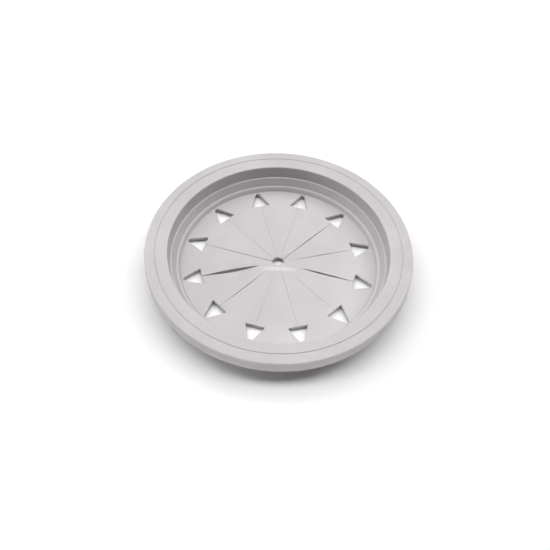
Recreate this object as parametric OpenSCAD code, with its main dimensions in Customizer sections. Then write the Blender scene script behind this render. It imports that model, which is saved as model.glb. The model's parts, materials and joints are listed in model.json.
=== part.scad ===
// Rubber splash cover for a kitchen sink drain.
// A stepped cup hangs in the drain from a thick flange; its floor is slit into wedge flaps
// that bend down under food waste and spring back. Axis +Z, standing on z = 0.

/* [Flange] */
// Diameter over the widest point of the flange
outer_d = 147.2; // [144:0.2:160]
// Height of the flange's outer wall
flange_h = 7.8; // [6:0.1:8.5]
// Overall height of the cover
overall_h = 18; // [16:0.5:22]
// Diameter of the mouth at the top of the cup
mouth_d = 121.8; // [120:0.2:124]
// Diameter of the fine ring groove on top of the flange
groove_d = 135.4; // [130:0.2:137]
// Width of the ring groove
groove_w = 0.9; // [0.5:0.1:1.5]
// Depth of the ring groove
groove_depth = 0.6; // [0.3:0.1:1]

/* [Cup] */
// Outer diameter of the cup, which plugs into the drain ring
cup_d = 126; // [125:0.5:128]
// Height where the sloping lower step leaves the wall inside the cup, above the foot
lower_step_z = 6; // [5:0.1:7.5]
// Diameter of the floor inside the cup
floor_d = 109.2; // [107:0.2:110.8]

/* [Floor] */
// Thickness of the rubber floor and its flaps
floor_t = 2; // [1.5:0.1:2.4]
// Clear height under the floor
floor_clearance = 1.2; // [0.8:0.1:2]
// Width of the knife slits between flaps
slit_w = 0.5; // [0.4:0.05:0.8]
// Diameter of the hole where the slits meet
hub_hole_d = 7; // [5:0.2:10]

/* [Drain holes] */
// Distance from the centre to the straight inner edge of a hole
hole_base_r = 43.7; // [42.5:0.1:44]
// Distance from the centre to the rounded outer tip of a hole
hole_tip_r = 53.9; // [52:0.1:54.2]
// Width of a hole along its straight edge
hole_w = 10.7; // [8:0.1:12]
// Radius of the rounded outer tip
hole_tip_round = 1.3; // [0.8:0.1:1.6]

/* [Hinges] */
// Distance from the centre to the line where a flap bends
hinge_r = 45; // [44.6:0.1:45.6]
// Clearance between a flap's rounded root and the web that carries it
hinge_gap = 0.15; // [0.1:0.05:0.3]

/* [Hidden] */
$fn = 144;
flap_count = 12;
pitch = 360 / flap_count;
first_flap = 3;          // where the flaps start in NODES

outer_r = outer_d / 2;
mouth_r = mouth_d / 2;
groove_r = groove_d / 2;
cup_r = cup_d / 2;
floor_r = floor_d / 2;
hub_r = hub_hole_d / 2;

seat_z = overall_h - flange_h;          // underside of the flange and top of the upper step
floor_top_z = floor_clearance + floor_t;
hinge_z = floor_clearance + floor_t / 2;
root_r = floor_t / 2;                    // rounded root of a flap

wall_draft = 0.3;        // the flange's outer wall leans in by this above and below its middle
outer_drop = 0.3;        // the flange's top falls by this from the groove to the outer edge
mouth_drop = 0.4;        // and by this from the groove to the mouth
edge_break = 0.7;        // width of the bevels along the flange's top edges
step_w = 1;              // width of the step inside the cup
upper_wall_draft = 0.7;  // the mouth wall narrows by this down to the upper step
lower_wall_draft = 2.2;  // the lower wall narrows by this down to the lower step
foot_r = 60.5;           // outer edge of the flat foot
foot_inner_r = 57;       // inner edge of the flat foot
lead_in_z = 3.5;         // height of the tapered lead-in at the bottom of the cup
web_seam_r = 55.6;       // where the floor web meets the cup wall
cove_h = 1.15;           // height the lower step has sloped down to where the floor web starts
skin = 0.01;             // overlap that keeps cuts clean

upper_step_r = mouth_r - upper_wall_draft;
lower_step_r = upper_step_r - step_w - lower_wall_draft;
mouth_z = overall_h - mouth_drop;

// A hole's side runs from its base corner, tangent to its round tip, at this angle to the radius.
tip_x = hole_tip_r - hole_tip_round;
hole_run = tip_x - hole_base_r;
hole_half = hole_w / 2;
hole_reach = sqrt(hole_run * hole_run + hole_half * hole_half);
hole_lean = atan2(hole_half, hole_run) - asin(hole_tip_round / hole_reach);

rubber = [0.80, 0.78, 0.80];

// Flange: a thick ring with a drafted outer wall and a fine ring groove on top.
module flange_ring() {
    color(rubber)
    rotate_extrude()
    polygon([
        [upper_step_r, seat_z],
        [mouth_r, mouth_z - edge_break],
        [mouth_r + edge_break, mouth_z],
        [groove_r - groove_w / 2, overall_h],
        [groove_r, overall_h - groove_depth],
        [groove_r + groove_w / 2, overall_h],
        [outer_r - wall_draft - edge_break, overall_h - outer_drop],
        [outer_r - wall_draft, overall_h - outer_drop - edge_break],
        [outer_r, seat_z + flange_h / 2],
        [outer_r - wall_draft, seat_z]
    ]);
}

// Cup wall: the stepped wall that plugs into the drain, with a flat foot and, inside, a lower
// step that slopes down to the floor.
module cup_wall() {
    color(rubber)
    rotate_extrude()
    polygon([
        [upper_step_r - step_w, seat_z],
        [cup_r, seat_z],
        [cup_r, lead_in_z],
        [foot_r, 0],
        [foot_inner_r, 0],
        [web_seam_r, floor_clearance],
        [web_seam_r, floor_top_z + cove_h],
        [lower_step_r, lower_step_z]
    ]);
}

// One drain hole, a triangle with its straight edge towards the centre and a rounded tip.
module drain_hole() {
    touch_x = tip_x + hole_tip_round * sin(hole_lean);
    touch_y = hole_tip_round * cos(hole_lean);
    translate([0, 0, -skin])
    linear_extrude(overall_h)
    polygon([
        [hole_base_r, -hole_half],
        [touch_x, -touch_y],
        [touch_x, touch_y],
        [hole_base_r, hole_half]
    ]);
    translate([tip_x, 0, -skin])
    cylinder(r = hole_tip_round, h = overall_h);
}

module at_each_hole() {
    for (k = [0:flap_count - 1])
        rotate(pitch * (k + 0.5))
        children();
}

// Floor web: the outer ring of the floor, cut into strips that carry the flaps.
module floor_web() {
    web_face = hinge_r + root_r + hinge_gap;
    color(rubber)
    difference() {
        rotate_extrude()
        polygon([
            [hole_base_r, floor_clearance],
            [web_seam_r, floor_clearance],
            [web_seam_r, floor_top_z + cove_h],
            [floor_r, floor_top_z],
            [hole_base_r, floor_top_z]
        ]);
        at_each_hole() drain_hole();
        linear_extrude(overall_h)
        polygon([for (k = [0:flap_count - 1])
            web_face / cos(pitch / 2) * [cos(pitch * (k + 0.5)), sin(pitch * (k + 0.5))]]);
    }
}

// One flap, lying along +X: a wedge between two slits, with a rounded root on the bending line.
module flap() {
    half_pitch = pitch / 2;
    side = [sin(half_pitch), -cos(half_pitch)];
    base_middle = hole_base_r * [cos(half_pitch), sin(half_pitch)];
    slit_end = base_middle + slit_w / 2 * side;
    corner = base_middle + hole_half * side;
    root_half = corner[1] + (hinge_r - corner[0]) * tan(hole_lean + half_pitch);
    outline = [
        [slit_w / 2 / sin(half_pitch), 0],
        slit_end,
        corner,
        [hinge_r, root_half],
        [hinge_r, -root_half],
        [corner[0], -corner[1]],
        [slit_end[0], -slit_end[1]]
    ];
    difference() {
        union() {
            translate([0, 0, floor_clearance])
            linear_extrude(floor_t)
            polygon(outline);
            translate([hinge_r, root_half, hinge_z])
            rotate([90, 0, 0])
            cylinder(r = root_r, h = 2 * root_half);
        }
        translate([0, 0, -skin])
        cylinder(r = hub_r, h = overall_h);
    }
}

module flap_at(turn) {
    color(rubber)
    rotate(pitch * turn)
    flap();
}

flange_ring();
cup_wall();
floor_web();
for (turn = [0:flap_count - 1])
    flap_at(turn);
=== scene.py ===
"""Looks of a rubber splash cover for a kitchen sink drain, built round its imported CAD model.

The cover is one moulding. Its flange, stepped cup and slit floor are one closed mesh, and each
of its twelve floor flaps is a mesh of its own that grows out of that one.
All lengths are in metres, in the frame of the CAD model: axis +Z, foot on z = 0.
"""

import json
import logging
import math
from dataclasses import dataclass
from enum import Enum
from typing import Any, Callable, Sequence

import bmesh
import bpy
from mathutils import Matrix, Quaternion, Vector


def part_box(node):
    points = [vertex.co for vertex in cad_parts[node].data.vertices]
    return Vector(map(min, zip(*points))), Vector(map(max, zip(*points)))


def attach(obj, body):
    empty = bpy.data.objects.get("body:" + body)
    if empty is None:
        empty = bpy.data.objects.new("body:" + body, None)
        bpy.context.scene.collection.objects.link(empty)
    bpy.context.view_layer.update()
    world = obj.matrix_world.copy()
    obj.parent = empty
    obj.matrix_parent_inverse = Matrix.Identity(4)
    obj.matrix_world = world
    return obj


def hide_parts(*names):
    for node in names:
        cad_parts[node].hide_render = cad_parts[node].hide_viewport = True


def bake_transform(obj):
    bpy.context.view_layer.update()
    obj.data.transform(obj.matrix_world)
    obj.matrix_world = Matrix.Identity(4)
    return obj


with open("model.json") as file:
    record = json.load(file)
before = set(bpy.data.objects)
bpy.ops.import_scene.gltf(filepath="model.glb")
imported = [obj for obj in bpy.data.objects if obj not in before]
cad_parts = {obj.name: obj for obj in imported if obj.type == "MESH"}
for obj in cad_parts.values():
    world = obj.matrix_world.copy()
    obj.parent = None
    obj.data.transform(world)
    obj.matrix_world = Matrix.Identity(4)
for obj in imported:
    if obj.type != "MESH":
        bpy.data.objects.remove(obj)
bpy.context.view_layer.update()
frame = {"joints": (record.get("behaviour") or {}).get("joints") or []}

MM = 0.001
WELD = 1e-3 * MM
MERGE = 1e-4 * MM
SHARP_FROM = math.radians(38)

# How late along a flap each part of its set comes in: the higher, the nearer the hub.
RISE_POWER = 5.0
ROLL_POWER = 20.0
ADVANCE_POWER = 9.0

Point2 = tuple[float, float]
Point3 = tuple[float, float, float]
Colour = tuple[float, float, float, float]

log = logging.getLogger("drain_cover")


# ---------------------------------------------------------------- node trees

class MathStep(Enum):
    """The Math node's operations that the operators and helpers below use."""

    PLUS = "ADD"
    MINUS = "SUBTRACT"
    TIMES = "MULTIPLY"
    OVER = "DIVIDE"
    POWER = "POWER"
    ROOT = "SQRT"
    SINE = "SINE"
    SIZE = "ABSOLUTE"
    MOST = "MAXIMUM"


@dataclass(frozen=True)
class Signal:
    """A number on a node's output socket, so that node maths reads as Python expressions."""

    bench: "NodeBench"
    socket: bpy.types.NodeSocket

    def _with(self, step: MathStep, other: Any, swapped: bool = False) -> "Signal":
        """Adds one Math node.

        Args:
            step: the operation.
            other: a second signal or a number.
            swapped: True puts the other value first.

        Returns:
            The node's result.
        """
        return self.bench.maths(step, other, self) if swapped else self.bench.maths(step, self, other)

    def __add__(self, other: Any) -> "Signal":
        """Sum."""
        return self._with(MathStep.PLUS, other)

    def __radd__(self, other: Any) -> "Signal":
        """Sum with a number on the left."""
        return self._with(MathStep.PLUS, other)

    def __sub__(self, other: Any) -> "Signal":
        """Difference."""
        return self._with(MathStep.MINUS, other)

    def __rsub__(self, other: Any) -> "Signal":
        """Difference from a number on the left."""
        return self._with(MathStep.MINUS, other, swapped=True)

    def __mul__(self, other: Any) -> "Signal":
        """Product."""
        return self._with(MathStep.TIMES, other)

    def __rmul__(self, other: Any) -> "Signal":
        """Product with a number on the left."""
        return self._with(MathStep.TIMES, other)

    def __truediv__(self, other: Any) -> "Signal":
        """Quotient."""
        return self._with(MathStep.OVER, other)

    def __pow__(self, other: Any) -> "Signal":
        """Power."""
        return self._with(MathStep.POWER, other)


class NodeBench:
    """Adds nodes to one node tree."""

    def __init__(self, tree: bpy.types.NodeTree) -> None:
        """Works on the given tree."""
        self.tree = tree

    def node(
        self,
        kind: str,
        settings: dict[str, Any] | None = None,
        sockets: dict[str, Any] | None = None,
    ) -> bpy.types.Node:
        """Adds a node.

        Args:
            kind: the node's type name.
            settings: properties, set before any socket.
            sockets: values or links by socket name or identifier.

        Returns:
            The new node.
        """
        made = self.tree.nodes.new(kind)
        for name, value in (settings or {}).items():
            setattr(made, name, value)
        for name, value in (sockets or {}).items():
            self.feed(self.find(made.inputs, name), value)
        return made

    @staticmethod
    def find(sockets: Any, name: str) -> bpy.types.NodeSocket:
        """Finds a socket of a node.

        Args:
            sockets: the node's inputs or outputs.
            name: the socket's identifier or name.

        Returns:
            The socket, the one with that identifier first.
        """
        for socket in sockets:
            if socket.identifier == name:
                return socket
        return next(socket for socket in sockets if socket.name == name and socket.enabled)

    def feed(self, socket: bpy.types.NodeSocket, value: Any) -> None:
        """Sets or links an input.

        Args:
            socket: the input.
            value: a signal, an output socket, or a plain value.
        """
        if isinstance(value, Signal):
            self.tree.links.new(value.socket, socket)
        elif isinstance(value, bpy.types.NodeSocket):
            self.tree.links.new(value, socket)
        else:
            socket.default_value = value

    def signal(self, node: bpy.types.Node, name: str) -> Signal:
        """Wraps a node's named output."""
        return Signal(self, self.find(node.outputs, name))

    def maths(self, step: MathStep, *values: Any, clamp: bool = False) -> Signal:
        """Adds a Math node.

        Args:
            step: the operation.
            values: up to three signals or numbers.
            clamp: True keeps the result between 0 and 1.

        Returns:
            The node's result.
        """
        made = self.node("ShaderNodeMath", {"operation": step.value, "use_clamp": clamp})
        for socket, value in zip(made.inputs, values):
            self.feed(socket, value)
        return Signal(self, made.outputs[0])

    def ramp(self, value: Signal, start: float, end: float) -> Signal:
        """Adds a smooth step.

        Args:
            value: the signal to map.
            start: where the result is 0.
            end: where the result is 1; it may lie below start.

        Returns:
            The step, between 0 and 1.
        """
        low, high = (start, end) if start < end else (end, start)
        sides = (0.0, 1.0) if start < end else (1.0, 0.0)
        made = self.node(
            "ShaderNodeMapRange",
            {"interpolation_type": "SMOOTHSTEP"},
            {"Value": value, "From Min": low, "From Max": high, "To Min": sides[0], "To Max": sides[1]},
        )
        return Signal(self, made.outputs[0])

    def band(self, value: Signal, centre: float, half: float, soft: float) -> Signal:
        """Adds a soft-edged band.

        Args:
            value: the signal to map.
            centre: middle of the band.
            half: half its full-strength width.
            soft: width of each fading edge.

        Returns:
            1 inside the band, 0 away from it.
        """
        return self.ramp(self.maths(MathStep.SIZE, value - centre), half + soft, half)


@dataclass(frozen=True)
class TreeInput:
    """One named input of a geometry tree: its socket type and its default, if it has one."""

    name: str
    kind: str
    default: Any = None


class GeometryTree:
    """A Geometry Nodes tree that is run once on a mesh and leaves a plain mesh behind."""

    def __init__(self, name: str, inputs: Sequence[TreeInput]) -> None:
        """Makes an empty tree.

        Args:
            name: the tree's name.
            inputs: its inputs after the geometry.
        """
        self.tree = bpy.data.node_groups.new(name, "GeometryNodeTree")
        self.bench = NodeBench(self.tree)
        face = self.tree.interface
        face.new_socket("Geometry", in_out="INPUT", socket_type="NodeSocketGeometry")
        face.new_socket("Geometry", in_out="OUTPUT", socket_type="NodeSocketGeometry")
        self.identifiers: dict[str, str] = {}
        for entry in inputs:
            socket = face.new_socket(entry.name, in_out="INPUT", socket_type=entry.kind)
            if entry.default is not None:
                socket.default_value = entry.default
            self.identifiers[entry.name] = socket.identifier
        self.source = self.bench.node("NodeGroupInput")

    def value(self, name: str) -> Signal:
        """Gives a named input of the tree as a signal."""
        return self.bench.signal(self.source, name)

    def close(self, geometry: bpy.types.NodeSocket) -> None:
        """Ends the tree in Realize Instances and Set Material.

        Args:
            geometry: the finished geometry.
        """
        real = self.bench.node("GeometryNodeRealizeInstances", sockets={"Geometry": geometry})
        dressed = self.bench.node(
            "GeometryNodeSetMaterial",
            sockets={"Geometry": real.outputs[0], "Material": self.value("Material").socket},
        )
        self.bench.node("NodeGroupOutput", sockets={"Geometry": dressed.outputs[0]})

    def run(self, mesh: bpy.types.Mesh, name: str, values: dict[str, Any]) -> bpy.types.Object:
        """Runs the tree on a mesh.

        Args:
            mesh: the starting mesh, left as it is.
            name: name of the resulting object.
            values: the tree's inputs by name.

        Returns:
            An object at the origin with a plain mesh and no modifier.
        """
        worker = bpy.data.objects.new(f"{name}.source", mesh)
        bpy.context.scene.collection.objects.link(worker)
        modifier = worker.modifiers.new("tree", "NODES")
        modifier.node_group = self.tree
        for key, value in values.items():
            modifier[self.identifiers[key]] = value
        graph = bpy.context.evaluated_depsgraph_get()
        result = bpy.data.meshes.new_from_object(worker.evaluated_get(graph))
        worker.modifiers.remove(modifier)
        bpy.data.objects.remove(worker)
        result.name = name
        piece = bpy.data.objects.new(name, result)
        bpy.context.scene.collection.objects.link(piece)
        return piece


def repeat_tree() -> GeometryTree:
    """Builds the tree that repeats a sector round the +Z axis and welds the copies.

    Returns:
        The tree, with inputs Count, First Angle, Weld and Material.
    """
    tree = GeometryTree("repeat_round_axis", [
        TreeInput("Count", "NodeSocketInt", 12),
        TreeInput("First Angle", "NodeSocketFloat", 0.0),
        TreeInput("Weld", "NodeSocketFloat", WELD),
        TreeInput("Material", "NodeSocketMaterial"),
    ])
    bench = tree.bench
    count = tree.value("Count")
    index = bench.signal(bench.node("GeometryNodeInputIndex"), "Index")
    angle = index * math.tau / count + tree.value("First Angle")
    points = bench.node("GeometryNodePoints", sockets={"Count": count})
    euler = bench.node("ShaderNodeCombineXYZ", sockets={"Z": angle})
    turn = bench.node("FunctionNodeEulerToRotation", sockets={"Euler": euler.outputs[0]})
    copies = bench.node("GeometryNodeInstanceOnPoints", sockets={
        "Points": points.outputs[0],
        "Instance": bench.find(tree.source.outputs, "Geometry"),
        "Rotation": turn.outputs[0],
    })
    real = bench.node("GeometryNodeRealizeInstances", sockets={"Geometry": copies.outputs[0]})
    welded = bench.node("GeometryNodeMergeByDistance", sockets={
        "Geometry": real.outputs[0],
        "Distance": tree.value("Weld"),
    })
    tree.close(welded.outputs[0])
    return tree


def lay_tree() -> GeometryTree:
    """Builds the tree that gives a flat flap its own set and turns it into its place.

    The set is what soft rubber keeps from lying and being pushed: a flap rises towards its tip
    and rolls over at the hub, moves in over the hub hole, twists a little about its length, and
    a slit beside it opens like a thin lens.

    Returns:
        The tree, with inputs for the flap's place, its radii, its set and its Material.
    """
    tree = GeometryTree("lay_out_flap", [
        TreeInput("Turn", "NodeSocketFloat", 0.0),
        TreeInput("Root Radius", "NodeSocketFloat", 0.046),
        TreeInput("Hub Radius", "NodeSocketFloat", 0.0035),
        TreeInput("Edge Slope", "NodeSocketFloat", 0.268),
        TreeInput("Rise", "NodeSocketFloat", 0.0),
        TreeInput("Roll", "NodeSocketFloat", 0.0),
        TreeInput("Advance", "NodeSocketFloat", 0.0),
        TreeInput("Twist", "NodeSocketFloat", 0.0),
        TreeInput("Draw Left", "NodeSocketFloat", 0.0),
        TreeInput("Draw Right", "NodeSocketFloat", 0.0),
        TreeInput("Material", "NodeSocketMaterial"),
    ])
    bench = tree.bench
    place = bench.node("ShaderNodeSeparateXYZ", sockets={
        "Vector": bench.node("GeometryNodeInputPosition").outputs[0],
    })
    along = bench.signal(place, "X")
    across = bench.signal(place, "Y")
    root = tree.value("Root Radius")
    span = root - tree.value("Hub Radius")
    reach = bench.maths(MathStep.PLUS, (root - along) / span, 0.0, clamp=True)
    rise = tree.value("Rise") * reach ** RISE_POWER
    roll = tree.value("Roll") * reach ** ROLL_POWER
    twist = tree.value("Twist") * across * reach * (1.0 - 0.6 * reach ** 3.0)
    inward = tree.value("Advance") * reach ** ADVANCE_POWER
    lens = bench.maths(MathStep.SINE, reach * math.pi) ** 2.0
    half = along * tree.value("Edge Slope") + 1e-5
    left = bench.maths(MathStep.MOST, across, 0.0) / half
    right = bench.maths(MathStep.MOST, 0.0 - across, 0.0) / half
    draw = lens * (right * tree.value("Draw Right") - left * tree.value("Draw Left"))
    offset = bench.node("ShaderNodeCombineXYZ", sockets={
        "X": 0.0 - inward,
        "Y": draw - inward * across / along,
        "Z": rise - roll + twist,
    })
    set_flap = bench.node("GeometryNodeSetPosition", sockets={
        "Geometry": bench.find(tree.source.outputs, "Geometry"),
        "Offset": offset.outputs[0],
    })
    turn = bench.node("ShaderNodeCombineXYZ", sockets={"Z": tree.value("Turn")})
    placed = bench.node("GeometryNodeTransform", sockets={
        "Geometry": set_flap.outputs[0],
        "Rotation": turn.outputs[0],
    })
    tree.close(placed.outputs[0])
    return tree


# ---------------------------------------------------------------- shapes

@dataclass(frozen=True)
class Corner:
    """A corner of a turned section: radius from the axis, height, and how far it is rounded."""

    r: float
    z: float
    rounding: float = 0.0


@dataclass(frozen=True)
class Section:
    """An open path of rounded corners, sampled finely enough to turn round an axis.

    The first and the last corner are ends and stay sharp.
    """

    corners: tuple[Corner, ...]
    arc_step: float = math.radians(16)
    support: float = 0.16 * MM
    run: float = 2.2 * MM

    def _arc(self, before: Corner, at: Corner, after: Corner) -> list[Vector]:
        """Rounds one corner.

        Args:
            before: the corner before it.
            at: the corner to round.
            after: the corner after it.

        Returns:
            Points of the arc, first to last.
        """
        spot = Vector((at.r, at.z))
        back = Vector((before.r, before.z)) - spot
        ahead = Vector((after.r, after.z)) - spot
        room = 0.45 * min(back.length, ahead.length)
        back.normalize()
        ahead.normalize()
        half = back.angle(ahead) / 2
        trim = min(at.rounding / math.tan(half), room)
        radius = trim * math.tan(half)
        centre = spot + (back + ahead).normalized() * (radius / math.sin(half))
        sweep = math.pi - 2 * half
        side = 1.0 if back.x * ahead.y - back.y * ahead.x < 0 else -1.0
        arm = spot + back * trim - centre
        steps = max(2, math.ceil(sweep / self.arc_step))
        points = []
        for i in range(steps + 1):
            angle = side * sweep * i / steps
            turned = Vector((
                arm.x * math.cos(angle) - arm.y * math.sin(angle),
                arm.x * math.sin(angle) + arm.y * math.cos(angle),
            ))
            points.append(centre + turned)
        return points

    def _straight(self, start: Vector, end: Vector) -> list[Vector]:
        """Splits a straight run, with a point close to each end to hold the shading.

        Args:
            start: the run's first point.
            end: the run's last point.

        Returns:
            The points between them.
        """
        length = (end - start).length
        if length < 3 * self.support:
            return []
        inner = length - 2 * self.support
        pieces = max(1, math.ceil(inner / self.run))
        shares = [self.support + inner * i / pieces for i in range(pieces + 1)]
        return [start + (end - start) * (share / length) for share in shares]

    def points(self) -> list[Point2]:
        """Samples the path.

        Returns:
            (radius, height) points from the first corner to the last.
        """
        first, last = self.corners[0], self.corners[-1]
        parts = [[Vector((first.r, first.z))]]
        for before, at, after in zip(self.corners, self.corners[1:], self.corners[2:]):
            parts.append(self._arc(before, at, after))
        parts.append([Vector((last.r, last.z))])
        path = list(parts[0])
        for part in parts[1:]:
            path += self._straight(path[-1], part[0])
            path += part
        return [(p.x, p.y) for p in path]


@dataclass(frozen=True)
class CoverSizes:
    """Every size of the cover. What the CAD model gives comes from its boxes."""

    outer_r: float
    seat_z: float
    top_z: float
    cup_r: float
    seam_r: float
    floor_z: float
    floor_top: float
    cove_top: float
    hinge_r: float
    flap_count: int
    mouth_r: float = 60.9 * MM
    mouth_drop: float = 0.25 * MM
    groove_r: float = 67.7 * MM
    groove_w: float = 0.9 * MM
    groove_depth: float = 0.5 * MM
    outer_drop: float = 0.14 * MM
    wall_draft: float = 0.3 * MM
    ridge: float = 0.1 * MM
    upper_ledge_r: float = 60.2 * MM
    lower_ledge_r: float = 57.0 * MM
    lower_ledge_z: float = 6.0 * MM
    ledge_w: float = 1.0 * MM
    foot_r: float = 60.5 * MM
    foot_inner_r: float = 57.0 * MM
    lead_in_z: float = 3.5 * MM
    floor_r: float = 54.6 * MM
    cove_r: float = 54.75 * MM
    hub_r: float = 3.5 * MM
    slit_w: float = 0.05 * MM
    hole_base_r: float = 43.7 * MM
    hole_tip_r: float = 53.9 * MM
    hole_w: float = 10.7 * MM
    hole_tip_round: float = 1.3 * MM
    root_seam_r: float = 48.3 * MM
    hole_break: float = 0.3 * MM
    slit_break: float = 0.07 * MM
    hub_break: float = 0.35 * MM

    @classmethod
    def from_frame(cls) -> "CoverSizes":
        """Reads what the CAD boxes give.

        Returns:
            The sizes, with the rest at their own values.
        """
        flange_low, flange_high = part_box("flange_ring")
        _, cup_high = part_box("cup_wall")
        web_low, web_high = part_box("floor_web")
        _, flap_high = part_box("flap_01")
        thick = flap_high.z - web_low.z
        return cls(
            outer_r=flange_high.x,
            seat_z=flange_low.z,
            top_z=flange_high.z,
            cup_r=cup_high.x,
            seam_r=web_high.x,
            floor_z=web_low.z,
            floor_top=flap_high.z,
            cove_top=web_high.z,
            hinge_r=flap_high.x - thick / 2,
            flap_count=len(frame["joints"]),
        )

    @property
    def pitch(self) -> float:
        """Angle from one flap to the next."""
        return math.tau / self.flap_count

    @property
    def hinge_z(self) -> float:
        """Height of the line that a flap bends about."""
        return (self.floor_z + self.floor_top) / 2

    @property
    def hole_tip_x(self) -> float:
        """Distance from the axis to the centre of a hole's round tip."""
        return self.hole_tip_r - self.hole_tip_round

    @property
    def hole_lean(self) -> float:
        """Angle between a hole's side and the hole's own radius."""
        run = self.hole_tip_x - self.hole_base_r
        half = self.hole_w / 2
        return math.atan2(half, run) - math.asin(self.hole_tip_round / math.hypot(run, half))

    def turned_section(self) -> Section:
        """Lays out the section of the moulding from the floor's top, over the flange, to its underside."""
        groove_low = self.groove_r - self.groove_w / 2
        groove_high = self.groove_r + self.groove_w / 2
        mid_z = (self.seat_z + self.top_z) / 2
        edge_r = self.outer_r - self.wall_draft
        return Section((
            Corner(self.floor_r, self.floor_top),
            Corner(self.cove_r, self.floor_top, 0.3 * MM),
            Corner(self.lower_ledge_r - 0.75 * self.ledge_w, self.lower_ledge_z - 0.35 * MM, 0.7 * MM),
            Corner(self.lower_ledge_r, self.lower_ledge_z, 0.3 * MM),
            Corner(self.upper_ledge_r - self.ledge_w, self.seat_z, 0.4 * MM),
            Corner(self.upper_ledge_r, self.seat_z, 0.3 * MM),
            Corner(self.mouth_r, self.top_z - self.mouth_drop, 0.8 * MM),
            Corner(groove_low, self.top_z, 0.16 * MM),
            Corner(self.groove_r, self.top_z - self.groove_depth, 0.12 * MM),
            Corner(groove_high, self.top_z, 0.16 * MM),
            Corner(edge_r, self.top_z - self.outer_drop, 0.8 * MM),
            Corner(self.outer_r - self.ridge, mid_z + self.ridge, 0.2 * MM),
            Corner(self.outer_r, mid_z, 0.06 * MM),
            Corner(self.outer_r - self.ridge, mid_z - self.ridge, 0.2 * MM),
            Corner(edge_r, self.seat_z, 0.4 * MM),
            Corner(self.cup_r, self.seat_z, 0.5 * MM),
            Corner(self.cup_r, self.lead_in_z, 0.8 * MM),
            Corner(self.foot_r, 0.0, 0.4 * MM),
            Corner(self.foot_inner_r, 0.0, 0.3 * MM),
            Corner(self.seam_r + 0.3 * MM, self.floor_z, 0.4 * MM),
            Corner(self.floor_r, self.floor_z),
        ))


def edge_break(size: float, steps: int) -> list[Point2]:
    """Samples a quarter round.

    Args:
        size: its radius.
        steps: number of straight pieces.

    Returns:
        (distance in from the face, distance down from the top), from the face to the top.
    """
    angles = [math.pi / 2 * i / steps for i in range(steps + 1)]
    return [(size * (1 - math.cos(a)), size * (1 - math.sin(a))) for a in angles]


def spread(start: Point2, end: Point2, pieces: int) -> list[Point2]:
    """Splits a straight line.

    Args:
        start: its first point.
        end: its last point.
        pieces: number of equal parts.

    Returns:
        The points from start up to, and without, end.
    """
    shares = [i / pieces for i in range(pieces)]
    return [
        (start[0] + (end[0] - start[0]) * s, start[1] + (end[1] - start[1]) * s) for s in shares
    ]


def shaded(mesh: bpy.types.Mesh, outward: bool = False) -> bpy.types.Mesh:
    """Shades a mesh smooth, apart from its real edges.

    Args:
        mesh: the mesh.
        outward: True points every face out of the closed shape first.

    Returns:
        The same mesh.
    """
    if outward:
        work = bmesh.new()
        work.from_mesh(mesh)
        bmesh.ops.remove_doubles(work, verts=work.verts, dist=MERGE)
        bmesh.ops.recalc_face_normals(work, faces=work.faces)
        work.to_mesh(mesh)
        work.free()
    mesh.shade_smooth()
    mesh.set_sharp_from_angle(angle=SHARP_FROM)
    return mesh


def new_mesh(name: str, points: Sequence[Point3], faces: Sequence[tuple[int, ...]]) -> bpy.types.Mesh:
    """Makes a mesh from points and faces.

    Args:
        name: the mesh's name.
        points: its points.
        faces: its faces, as indices of points.

    Returns:
        The mesh.
    """
    mesh = bpy.data.meshes.new(name)
    mesh.from_pydata(points, [], faces)
    mesh.update()
    return mesh


# ---------------------------------------------------------------- the moulding

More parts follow.
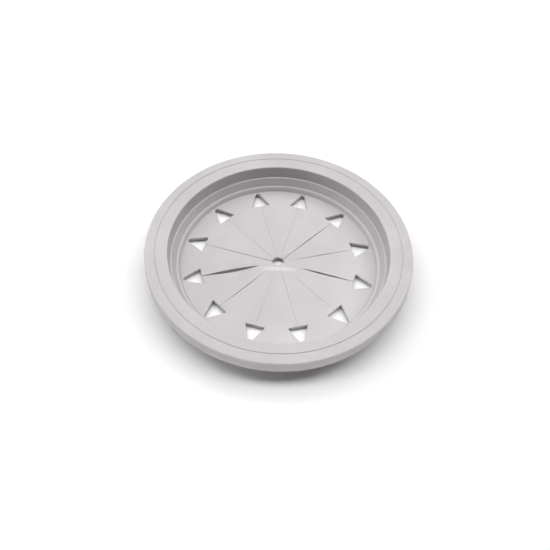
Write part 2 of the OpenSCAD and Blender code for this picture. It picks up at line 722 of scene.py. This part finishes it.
@dataclass
class CoverBody:
    """The flange, the stepped cup and the floor round the flaps, as one seamless moulding.

    One sector, with a drain hole in its middle, is built as closed loops side by side, and
    repeated round the axis.
    """

    sizes: CoverSizes
    name: str = "cover_body"
    seam_columns: int = 8
    side_columns: int = 5
    arc_columns: int = 7
    break_steps: int = 4
    hold: float = 0.15 * MM

    def _half_outline(self, inset: float, seam_inset: float) -> list[Point2]:
        """Lays out the inner edge of half a sector, with the hole along +X.

        Args:
            inset: how far the edge of the hole lies inside the material.
            seam_inset: how far the seam with the flap does.

        Returns:
            Points from the sector's side at -pitch / 2 to the hole's tip at y = 0.
        """
        s = self.sizes
        half = s.pitch / 2
        lean = s.hole_lean
        seam = s.root_seam_r + seam_inset
        reach = s.hole_tip_round + inset
        touch = (s.hole_tip_x + reach * math.sin(lean), -reach * math.cos(lean))
        start = (seam * math.cos(half), -seam * math.sin(half))
        short = touch[0] * math.cos(half) - touch[1] * math.sin(half) - seam
        back = short / math.cos(lean + half)
        meet = (touch[0] - back * math.cos(lean), touch[1] - back * math.sin(lean))
        arc = []
        for i in range(self.arc_columns + 1):
            angle = -(math.pi / 2 - lean) * (1 - i / self.arc_columns)
            arc.append((s.hole_tip_x + reach * math.cos(angle), reach * math.sin(angle)))
        seam_line = spread(start, meet, self.seam_columns)
        return seam_line + spread(meet, touch, self.side_columns) + arc

    def outline(self, inset: float, seam_inset: float) -> list[Point2]:
        """Lays out the inner edge of the whole sector.

        Args:
            inset: how far the edge of the hole lies inside the material.
            seam_inset: how far the seams with the flaps do.

        Returns:
            Points from one side of the sector to the other.
        """
        half = self._half_outline(inset, seam_inset)
        return half + [(x, -y) for x, y in reversed(half[:-1])]

    def _edge_rows(self) -> list[list[Point3]]:
        """Builds the rows round the hole and along the seams, from the underside to the top."""
        s = self.sizes
        size = s.hole_break
        rounded = edge_break(size, self.break_steps)
        under = [(inset, 0.0, s.floor_z + drop) for inset, drop in reversed(rounded)]
        over = [(inset, 0.0, s.floor_top - drop) for inset, drop in rounded]
        flat = size + self.hold
        plan = [(flat, self.hold, s.floor_z), *under, *over, (flat, self.hold, s.floor_top)]
        return [
            [(x, y, z) for x, y in self.outline(inset, seam_inset)] for inset, seam_inset, z in plan
        ]

    def _column_angles(self) -> list[float]:
        """Shares the sector's angle between its columns, half evenly and half as the hole needs."""
        flat = self.outline(self.sizes.hole_break + self.hold, self.hold)
        half = self.sizes.pitch / 2
        last = len(flat) - 1
        return [
            (math.atan2(y, x) + half * (2 * i / last - 1)) / 2 for i, (x, y) in enumerate(flat)
        ]

    def sector(self) -> bpy.types.Mesh:
        """Builds one sector.

        Returns:
            An open mesh between the angles -pitch / 2 and pitch / 2.
        """
        angles = self._column_angles()
        rows = [
            [(r * math.cos(a), r * math.sin(a), z) for a in angles]
            for r, z in self.sizes.turned_section().points()
        ]
        rows += self._edge_rows()
        width = len(angles)
        points = [point for row in rows for point in row]
        faces = []
        for j in range(len(rows)):
            here = j * width
            there = (j + 1) % len(rows) * width
            faces += [(here + i, here + i + 1, there + i + 1, there + i) for i in range(width - 1)]
        return new_mesh("cover_sector", points, faces)

    def build(self, finish: bpy.types.Material) -> bpy.types.Object:
        """Builds the moulding, dresses it and mounts it.

        Args:
            finish: its material.

        Returns:
            The finished piece.
        """
        piece = repeat_tree().run(self.sector(), self.name, {
            "Count": self.sizes.flap_count,
            "First Angle": self.sizes.pitch / 2,
            "Weld": WELD,
            "Material": finish,
        })
        shaded(piece.data, outward=True)
        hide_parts("flange_ring", "cup_wall", "floor_web")
        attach(piece, "rim")
        log.info("%s: %d faces", piece.name, len(piece.data.polygons))
        return piece


@dataclass(frozen=True)
class FlapSet:
    """The shape that one flap has taken: lengths in metres, twist as a slope.

    Rise lifts its tip, roll turns the very tip down again, advance moves it in over the hub
    hole, and draw pulls a side away from its slit. Left is the flap's anticlockwise side, seen
    from above.
    """

    rise: float = 0.0
    roll: float = 0.0
    advance: float = 0.0
    twist: float = 0.0
    draw_left: float = 0.0
    draw_right: float = 0.0


@dataclass
class FloorFlaps:
    """The twelve wedge flaps of the floor, cut apart by knife slits that meet at the hub hole."""

    sizes: CoverSizes
    sets: tuple[FlapSet, ...]
    break_steps: int = 4
    middle_columns: int = 12
    slit_rows: int = 30
    base_rows: int = 6
    neck_rows: int = 11
    hold: float = 0.15 * MM
    bend_start_r: float = 46.6 * MM
    bend_end_r: float = 40.8 * MM
    straight_from_r: float = 20 * MM
    straight_by_r: float = 40 * MM
    slit_crowding: float = 1.15
    slit_end: float = 0.9 * MM
    neck_start: float = 0.25 * MM
    root_reach: float = 1 * MM

    def _corners(self) -> tuple[Point2, Point2]:
        """Places the shoulder, where the slit meets the hole, and the neck, where its side starts."""
        s = self.sizes
        half = s.pitch / 2
        base = (s.hole_base_r * math.cos(half), s.hole_base_r * math.sin(half))
        down = (math.sin(half), -math.cos(half))
        gap = s.slit_w / 2
        shoulder = (base[0] + gap * down[0], base[1] + gap * down[1])
        neck = (base[0] + s.hole_w / 2 * down[0], base[1] + s.hole_w / 2 * down[1])
        return shoulder, neck

    def _edge(self) -> list[Callable[[float, float], Point2]]:
        """Lays out the left edge from the hub to the root seam.

        Returns:
            For each row, a function that gives the edge's place for an inset from the slit and
            an inset from the hole.
        """
        s = self.sizes
        half = s.pitch / 2
        gap = s.slit_w / 2
        cut = (math.cos(half), math.sin(half))
        inward = (math.sin(half), -math.cos(half))
        shoulder, neck = self._corners()
        slope = math.tan(s.hole_lean + half)
        widen = 1 / math.cos(s.hole_lean + half)
        turn = 1 - math.sin(s.hole_lean)
        mitre = (
            (math.sin(s.hole_lean + half) - cut[0]) / turn,
            (-math.cos(s.hole_lean + half) - cut[1]) / turn,
        )

        def on_slit(reach: float) -> Callable[[float, float], Point2]:
            """Places a point of the slit, by its distance along the cut."""
            return lambda slit, hole: (
                reach * cut[0] + (gap + slit) * inward[0],
                reach * cut[1] + (gap + slit) * inward[1],
            )

        def on_base(share: float) -> Callable[[float, float], Point2]:
            """Places a point between the shoulder and the neck, by its share of the way."""
            return lambda slit, hole: (
                shoulder[0] + (neck[0] - shoulder[0]) * share
                + slit * (1 - share) * inward[0] - hole * cut[0],
                shoulder[1] + (neck[1] - shoulder[1]) * share
                + slit * (1 - share) * inward[1] - hole * cut[1],
            )

        def on_neck(x: float) -> Callable[[float, float], Point2]:
            """Places a point of the hole's side, by its distance along the flap."""
            return lambda slit, hole: (x, neck[1] + (x - neck[0]) * slope - hole * widen)

        first = math.sqrt(s.hub_r ** 2 - gap ** 2)
        rounded = [first + inset for inset, _ in edge_break(s.hub_break, self.break_steps)]
        last = s.hole_base_r - self.slit_end
        rows = [on_slit(reach) for reach in rounded]
        for i in range(1, self.slit_rows + 1):
            share = (i / self.slit_rows) ** self.slit_crowding
            rows.append(on_slit(rounded[-1] + (last - rounded[-1]) * share))
        rows += [on_base(i / self.base_rows) for i in range(self.base_rows)]
        rows.append(lambda slit, hole: (neck[0] + mitre[0] * hole, neck[1] + mitre[1] * hole))
        for i in range(1, self.neck_rows + 1):
            start = neck[0] + self.neck_start
            rows.append(on_neck(start + (s.root_seam_r - start) * i / self.neck_rows))
        return rows

    def _row(self, edge: Callable[[float, float], Point2], end_drop: float) -> list[tuple[Point2, float]]:
        """Lays out one row from the right edge to the left one.

        Args:
            edge: the row's left edge, for an inset from the slit and one from the hole.
            end_drop: how far the rounded hub end lies below the top here.

        Returns:
            Each point's place in plan, and its depth below the top face.
        """
        s = self.sizes
        slit = edge_break(s.slit_break, self.break_steps)
        hole = edge_break(s.hole_break, self.break_steps)
        at_slit = math.hypot(*edge(0.0, 0.0)) < s.hole_base_r - 0.5 * MM
        left = [
            (edge(a[0], b[0]), max(end_drop, (a if at_slit else b)[1])) for a, b in zip(slit, hole)
        ]
        x, y = edge(s.slit_break + self.hold, s.hole_break + self.hold)
        reach = math.hypot(x, y)
        angle = math.atan2(y, x)
        bow = min(1.0, max(0.0, (self.straight_by_r - reach) / (self.straight_by_r - self.straight_from_r)))
        middle = []
        for i in range(self.middle_columns + 1):
            share = 1 - 2 * i / self.middle_columns
            round_x = reach * math.cos(angle * share)
            round_y = reach * math.sin(angle * share)
            middle.append(((x + (round_x - x) * bow, y * share + (round_y - y * share) * bow), end_drop))
        right = [((px, -py), drop) for (px, py), drop in left]
        return list(reversed(left + middle + list(reversed(right))))

    def flat_flap(self) -> bpy.types.Mesh:
        """Builds one flap, flat and along +X.

        Returns:
            A closed mesh from the hub hole to the root seam.
        """
        s = self.sizes
        edges = self._edge()
        hub_drops = [drop for _, drop in edge_break(s.hub_break, self.break_steps)]
        points: list[Point3] = []
        for j, edge in enumerate(edges):
            row = self._row(edge, hub_drops[j] if j < len(hub_drops) else 0.0)
            points += [(x, y, s.floor_top - drop) for (x, y), drop in row]
            points += [(x, y, s.floor_z + drop) for (x, y), drop in row]
        width = len(points) // (2 * len(edges))
        faces = []
        for j in range(len(edges)):
            top = 2 * j * width
            under = top + width
            if j + 1 < len(edges):
                step = 2 * width
                for i in range(width - 1):
                    faces.append((top + i, top + i + 1, top + i + 1 + step, top + i + step))
                    faces.append((under + i, under + i + step, under + i + 1 + step, under + i + 1))
                for i in (0, width - 1):
                    faces.append((top + i, top + i + step, under + i + step, under + i))
            if j in (0, len(edges) - 1):
                faces += [(top + i, top + i + 1, under + i + 1, under + i) for i in range(width - 1)]
        return shaded(new_mesh("flat_flap", points, faces), outward=True)

    def build(self, finish: bpy.types.Material) -> list[bpy.types.Object]:
        """Builds the flaps and dresses them.

        Args:
            finish: their material.

        Returns:
            The finished pieces, flap_01 first.
        """
        s = self.sizes
        flat = self.flat_flap()
        tree = lay_tree()
        pieces = []
        for k, shape in enumerate(self.sets):
            body = f"flap_{k + 1:02d}"
            turn = k * s.pitch
            piece = tree.run(flat, f"{body}_leaf", {
                "Turn": turn,
                "Root Radius": s.hinge_r + self.root_reach,
                "Hub Radius": s.hub_r,
                "Edge Slope": math.tan(s.pitch / 2),
                "Rise": shape.rise,
                "Roll": shape.roll,
                "Advance": shape.advance,
                "Twist": shape.twist,
                "Draw Left": shape.draw_left,
                "Draw Right": shape.draw_right,
                "Material": finish,
            })
            shaded(piece.data, outward=True)
            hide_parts(body)
            self.bend_start_r * math.cos(turn)
            self.bend_start_r * math.sin(turn)
            self.bend_end_r * math.cos(turn)
            self.bend_end_r * math.sin(turn)
            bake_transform(piece)
            log.info("%s: %d faces", piece.name, len(piece.data.polygons))
            pieces.append(piece)
        return pieces


# ---------------------------------------------------------------- finishes

def bare_material(name: str) -> tuple[bpy.types.Material, NodeBench]:
    """Makes a material without nodes, and the bench to add them with."""
    material = bpy.data.materials.new(name)
    material.use_nodes = True
    material.node_tree.nodes.clear()
    return material, NodeBench(material.node_tree)


@dataclass(frozen=True)
class MouldedRubber:
    """Light grey moulded rubber: matt, with a fine grain and faint cloudy tone, painted shade in its
    corners and painted highlights on its rims, ledges and flap tips.
    """

    sizes: CoverSizes
    name: str = "moulded_grey_rubber"
    deep_tone: Colour = (0.51, 0.483, 0.499, 1.0)
    pale_tone: Colour = (0.56, 0.534, 0.549, 1.0)
    # Colour of the painted shade in the groove, the cove and the ledges' corners.
    painted_shade_tone: Colour = (0.36, 0.335, 0.335, 1.0)
    # Colour of the painted highlights on the rims, the ledges and the front flaps' tips.
    painted_highlight_tone: Colour = (0.80, 0.78, 0.79, 1.0)
    cloud_size: float = 26 * MM
    speck_size: float = 1.1 * MM
    grain_size: float = 0.32 * MM
    turning_pitch: float = 0.42 * MM
    # Strengths of the painted shade.
    groove_painted_shade: float = 0.3
    corner_painted_shade: float = 0.1
    # Strengths of the painted highlights.
    rim_painted_highlight: float = 0.12
    lower_ledge_painted_highlight: float = 0.35
    upper_ledge_painted_highlight: float = 0.12
    tip_painted_highlight: float = 0.45

    def build(self) -> bpy.types.Material:
        """Builds the material.

        Returns:
            The finished material.
        """
        material, bench = bare_material(self.name)
        place = bench.node("ShaderNodeTexCoord").outputs["Object"]
        apart = bench.node("ShaderNodeSeparateXYZ", sockets={"Vector": place})
        x, y, z = (bench.signal(apart, axis) for axis in "XYZ")
        radius = bench.maths(MathStep.ROOT, x * x + y * y)

        cloud = self._noise(bench, place, self.cloud_size, 3.0)
        speck = self._noise(bench, place, self.speck_size, 2.0)
        grain = self._noise(bench, place, self.grain_size, 1.0)
        tone = bench.ramp(cloud * 0.75 + speck * 0.25, 0.32, 0.68)
        body = self._mix(bench, tone, self.deep_tone, self.pale_tone)

        # Painted shade: darker colour in the ring groove, the cove and the ledges' corners, where shade
        # falls; it also makes them a little rougher.
        painted_shade = self._painted_corner_shade(bench, radius, z, cloud)
        body_with_shade = self._mix(bench, painted_shade, body, self.painted_shade_tone)
        # Painted highlights: paler colour on the flange's rims, both ledges and the front flaps' tips.
        painted_highlight = self._painted_highlights(bench, radius, x, y, z) * (0.7 + cloud * 0.5)
        colour = self._mix(bench, painted_highlight, body_with_shade, self.painted_highlight_tone)

        turning = bench.maths(MathStep.SINE, radius * (math.tau / self.turning_pitch))
        relief = grain * 0.75 + turning * 0.08 + speck * 0.25
        bump = bench.node(
            "ShaderNodeBump", sockets={"Strength": 0.22, "Distance": 0.06 * MM, "Height": relief},
        )
        shader = bench.node("ShaderNodeBsdfPrincipled", sockets={
            "Base Color": colour,
            "Roughness": 0.5 + grain * 0.1 + tone * 0.05 + painted_shade * 0.1,
            "IOR": 1.5,
            "Specular IOR Level": 0.42,
            "Normal": bump.outputs[0],
        })
        bench.node("ShaderNodeOutputMaterial", sockets={"Surface": shader.outputs[0]})
        return material

    @staticmethod
    def _noise(bench: NodeBench, place: bpy.types.NodeSocket, size: float, detail: float) -> Signal:
        """Adds a noise.

        Args:
            bench: the material's bench.
            place: the coordinates.
            size: size of its features.
            detail: its detail.

        Returns:
            The noise, between 0 and 1.
        """
        made = bench.node("ShaderNodeTexNoise", {"noise_dimensions": "3D"}, {
            "Vector": place, "Scale": 1 / size, "Detail": detail, "Roughness": 0.55,
        })
        return bench.signal(made, "Fac")

    @staticmethod
    def _mix(bench: NodeBench, share: Signal, first: Any, second: Any) -> bpy.types.NodeSocket:
        """Mixes two colours.

        Args:
            bench: the material's bench.
            share: how much of the second.
            first: a colour or a colour socket.
            second: a colour or a colour socket.

        Returns:
            The mixed colour.
        """
        made = bench.node("ShaderNodeMix", {"data_type": "RGBA", "clamp_factor": True}, {
            "Factor_Float": share, "A_Color": first, "B_Color": second,
        })
        return bench.find(made.outputs, "Result_Color")

    def _painted_corner_shade(self, bench: NodeBench, radius: Signal, z: Signal, cloud: Signal) -> Signal:
        """Paints shade into the ring groove, the cove and the ledges' corners: darker colour where shade
        falls.

        Args:
            bench: the material's bench.
            radius: distance from the axis.
            z: height.
            cloud: a noise that breaks the painted shade up.

        Returns:
            How much painted shade lies at each place.
        """
        s = self.sizes
        top = bench.ramp(z, s.top_z - 0.25 * MM, s.top_z - 0.6 * MM)
        groove = bench.band(radius, s.groove_r, 0.3 * MM, 0.4 * MM) * top
        low = bench.ramp(z, s.cove_top + 1.2 * MM, s.floor_top)
        cove = bench.band(radius, s.cove_r, 0.3 * MM, 1.3 * MM) * low
        lower = bench.band(radius, s.lower_ledge_r, 0.1 * MM, 0.7 * MM) * bench.band(
            z, s.lower_ledge_z, 0.2 * MM, 0.8 * MM
        )
        upper = bench.band(radius, s.upper_ledge_r, 0.1 * MM, 0.7 * MM) * bench.band(
            z, s.seat_z, 0.2 * MM, 0.8 * MM
        )
        corners = cove * self.corner_painted_shade + lower * self.corner_painted_shade + upper * self.corner_painted_shade
        return (groove * self.groove_painted_shade + corners) * (0.6 + cloud * 0.8)

    def _painted_highlights(
        self, bench: NodeBench, radius: Signal, x: Signal, y: Signal, z: Signal
    ) -> Signal:
        """Paints highlights as paler colour: on the flange's two rims, both ledges and the front flaps'
        tips.

        Args:
            bench: the material's bench.
            radius: distance from the axis.
            x: how far to the right the place is.
            y: how far towards the back it is.
            z: height.

        Returns:
            How far each place is rubbed pale.
        """
        s = self.sizes
        near_top = bench.ramp(z, s.top_z - 1.4 * MM, s.top_z - 0.5 * MM)
        outer = bench.ramp(radius, s.outer_r - 1.4 * MM, s.outer_r - 0.5 * MM) * near_top
        mouth = bench.band(radius, s.mouth_r + 0.3 * MM, 0.2 * MM, 0.8 * MM) * near_top
        lower = bench.band(radius, s.lower_ledge_r - 0.9 * s.ledge_w, 0.5 * MM, 0.4 * MM) * bench.ramp(
            z, s.cove_top + 0.2 * MM, s.lower_ledge_z - 0.7 * MM
        ) * bench.ramp(z, s.lower_ledge_z + 0.6 * MM, s.lower_ledge_z + 0.1 * MM)
        upper = bench.band(radius, s.upper_ledge_r - 0.7 * s.ledge_w, 0.4 * MM, 0.4 * MM) * bench.band(
            z, s.seat_z, 0.15 * MM, 0.4 * MM
        )
        # Painted highlight on the front flaps' tips, at a fixed place in front of the hub.
        tips = bench.band(y, -5.3 * MM, 0.5 * MM, 1.6 * MM) * bench.band(x, 0.0, 4.0 * MM, 9.0 * MM)
        rims = outer * self.rim_painted_highlight + mouth * self.rim_painted_highlight
        ledges = lower * self.lower_ledge_painted_highlight + upper * self.upper_ledge_painted_highlight
        return rims + ledges + tips * self.tip_painted_highlight


@dataclass(frozen=True)
class PaleTable:
    """The plain white surface that the cover stands on."""

    name: str = "pale_table"
    dark: Colour = (0.92, 0.92, 0.92, 1.0)
    light: Colour = (0.96, 0.96, 0.96, 1.0)
    cloud_size: float = 80 * MM

    def build(self) -> bpy.types.Material:
        """Builds the material.

        Returns:
            The finished material.
        """
        material, bench = bare_material(self.name)
        place = bench.node("ShaderNodeTexCoord").outputs["Object"]
        cloud = bench.node("ShaderNodeTexNoise", sockets={"Vector": place, "Scale": 1 / self.cloud_size})
        tone = bench.node("ShaderNodeMix", {"data_type": "RGBA"}, {
            "Factor_Float": bench.signal(cloud, "Fac"), "A_Color": self.dark, "B_Color": self.light,
        })
        shader = bench.node("ShaderNodeBsdfPrincipled", sockets={
            "Base Color": bench.find(tone.outputs, "Result_Color"),
            "Roughness": 0.85,
            "Specular IOR Level": 0.1,
        })
        bench.node("ShaderNodeOutputMaterial", sockets={"Surface": shader.outputs[0]})
        return material


# ---------------------------------------------------------------- the studio

@dataclass(frozen=True)
class Softbox:
    """A soft rectangular lamp that faces the cover: its width is level, its depth is not."""

    name: str
    place: Point3
    width: float
    depth: float
    power: float

    def build(self, target: Vector) -> bpy.types.Object:
        """Builds the lamp.

        Args:
            target: the point that it faces.

        Returns:
            The lamp's object.
        """
        data = bpy.data.lights.new(self.name, "AREA")
        data.shape = "RECTANGLE"
        data.size = self.width
        data.size_y = self.depth
        data.energy = self.power
        lamp = bpy.data.objects.new(self.name, data)
        lamp.location = self.place
        lamp.rotation_euler = (target - Vector(self.place)).to_track_quat("-Z", "Y").to_euler()
        bpy.context.scene.collection.objects.link(lamp)
        return lamp


@dataclass
class Studio:
    """The table, the soft light and the camera."""

    lamps: tuple[Softbox, ...]
    sky: float = 0.0
    floor_side: float = 4.0
    aim: Point3 = (-1.82 * MM, -19.75 * MM, 18 * MM)
    distance: float = 363.87 * MM
    elevation: float = math.radians(53.6)
    azimuth: float = math.radians(-0.936)
    roll: float = math.radians(2.9)
    lens: float = 44.9
    sensor: float = 36.0

    def build(self) -> None:
        """Builds the whole studio."""
        self._table()
        self._sky()
        for lamp in self.lamps:
            lamp.build(Vector((0.0, 0.0, 0.0)))
        self._camera()
        bpy.context.scene.view_settings.view_transform = "Standard"

    def _table(self) -> None:
        """Lays the table's top at z = 0."""
        half = self.floor_side / 2
        points = [(-half, -half, 0.0), (half, -half, 0.0), (half, half, 0.0), (-half, half, 0.0)]
        table = bpy.data.objects.new("table", new_mesh("table", points, [(0, 1, 2, 3)]))
        table.data.materials.append(PaleTable().build())
        bpy.context.scene.collection.objects.link(table)
        log.info("table laid")

    def _sky(self) -> None:
        """Fills the room with dim even light, white where the camera looks past the table."""
        world = bpy.data.worlds.new("studio")
        world.use_nodes = True
        world.node_tree.nodes.clear()
        bench = NodeBench(world.node_tree)
        dim = bench.node("ShaderNodeBackground", sockets={"Color": (1, 1, 1, 1), "Strength": self.sky})
        white = bench.node("ShaderNodeBackground", sockets={"Color": (1, 1, 1, 1), "Strength": 1.0})
        path = bench.node("ShaderNodeLightPath")
        both = bench.node("ShaderNodeMixShader", sockets={"Fac": path.outputs["Is Camera Ray"]})
        world.node_tree.links.new(dim.outputs[0], both.inputs[1])
        world.node_tree.links.new(white.outputs[0], both.inputs[2])
        bench.node("ShaderNodeOutputWorld", sockets={"Surface": both.outputs[0]})
        bpy.context.scene.world = world

    def _camera(self) -> None:
        """Places the camera."""
        data = bpy.data.cameras.new("camera")
        data.lens = self.lens
        data.sensor_width = self.sensor
        data.clip_start = 0.01
        data.clip_end = 10.0
        away = Vector((
            math.sin(self.azimuth) * math.cos(self.elevation),
            -math.cos(self.azimuth) * math.cos(self.elevation),
            math.sin(self.elevation),
        ))
        camera = bpy.data.objects.new("camera", data)
        camera.rotation_mode = "QUATERNION"
        camera.location = Vector(self.aim) + away * self.distance
        camera.rotation_quaternion = (-away).to_track_quat("-Z", "Y") @ Quaternion((0, 0, 1), self.roll)
        bpy.context.scene.collection.objects.link(camera)
        bpy.context.scene.camera = camera


# ---------------------------------------------------------------- all of it

FLAP_SETS = (
    FlapSet(rise=-0.25 * MM, twist=0.012, draw_left=0.14 * MM, draw_right=0.55 * MM),
    FlapSet(rise=-0.45 * MM, twist=-0.02, draw_left=0.22 * MM, draw_right=0.14 * MM),
    FlapSet(rise=0.15 * MM, draw_right=0.2 * MM),
    FlapSet(rise=0.12 * MM),
    FlapSet(rise=0.10 * MM),
    FlapSet(rise=0.08 * MM, draw_left=0.1 * MM),
    FlapSet(rise=-0.28 * MM, twist=0.015, draw_left=1.0 * MM, draw_right=0.12 * MM),
    FlapSet(1.9 * MM, 1.2 * MM, 1.1 * MM, twist=0.03, draw_left=0.16 * MM, draw_right=1.1 * MM),
    FlapSet(2.3 * MM, 1.4 * MM, 1.25 * MM, twist=-0.01, draw_right=0.14 * MM),
    FlapSet(2.4 * MM, 1.45 * MM, 1.25 * MM),
    FlapSet(2.4 * MM, 1.45 * MM, 1.25 * MM),
    FlapSet(2.1 * MM, 1.3 * MM, 1.1 * MM, twist=-0.03, draw_left=0.6 * MM),
)

SOFTBOXES = (
    Softbox("high_softbox", (0.0, 0.95, 1.35), 2.4, 0.6, 12.5),
    Softbox("overhead_strip", (0.0, 0.08, 1.6), 2.6, 0.5, 20.3),
    Softbox("left_softbox", (-1.4, 0.2, 0.9), 1.2, 1.2, 10.2),
    Softbox("right_softbox", (1.3, 0.35, 1.3), 0.8, 0.5, 7.6),
    Softbox("low_front_strip", (0.0, -1.2, 0.025), 1.6, 0.03, 2.9),
)


def main() -> None:
    """Builds the studio and the cover in order."""
    logging.basicConfig(level=logging.INFO, format="%(name)s: %(message)s")
    sizes = CoverSizes.from_frame()
    rubber = MouldedRubber(sizes).build()
    Studio(SOFTBOXES).build()
    CoverBody(sizes).build(rubber)
    FloorFlaps(sizes, FLAP_SETS).build(rubber)


if __name__ == "__main__":
    main()
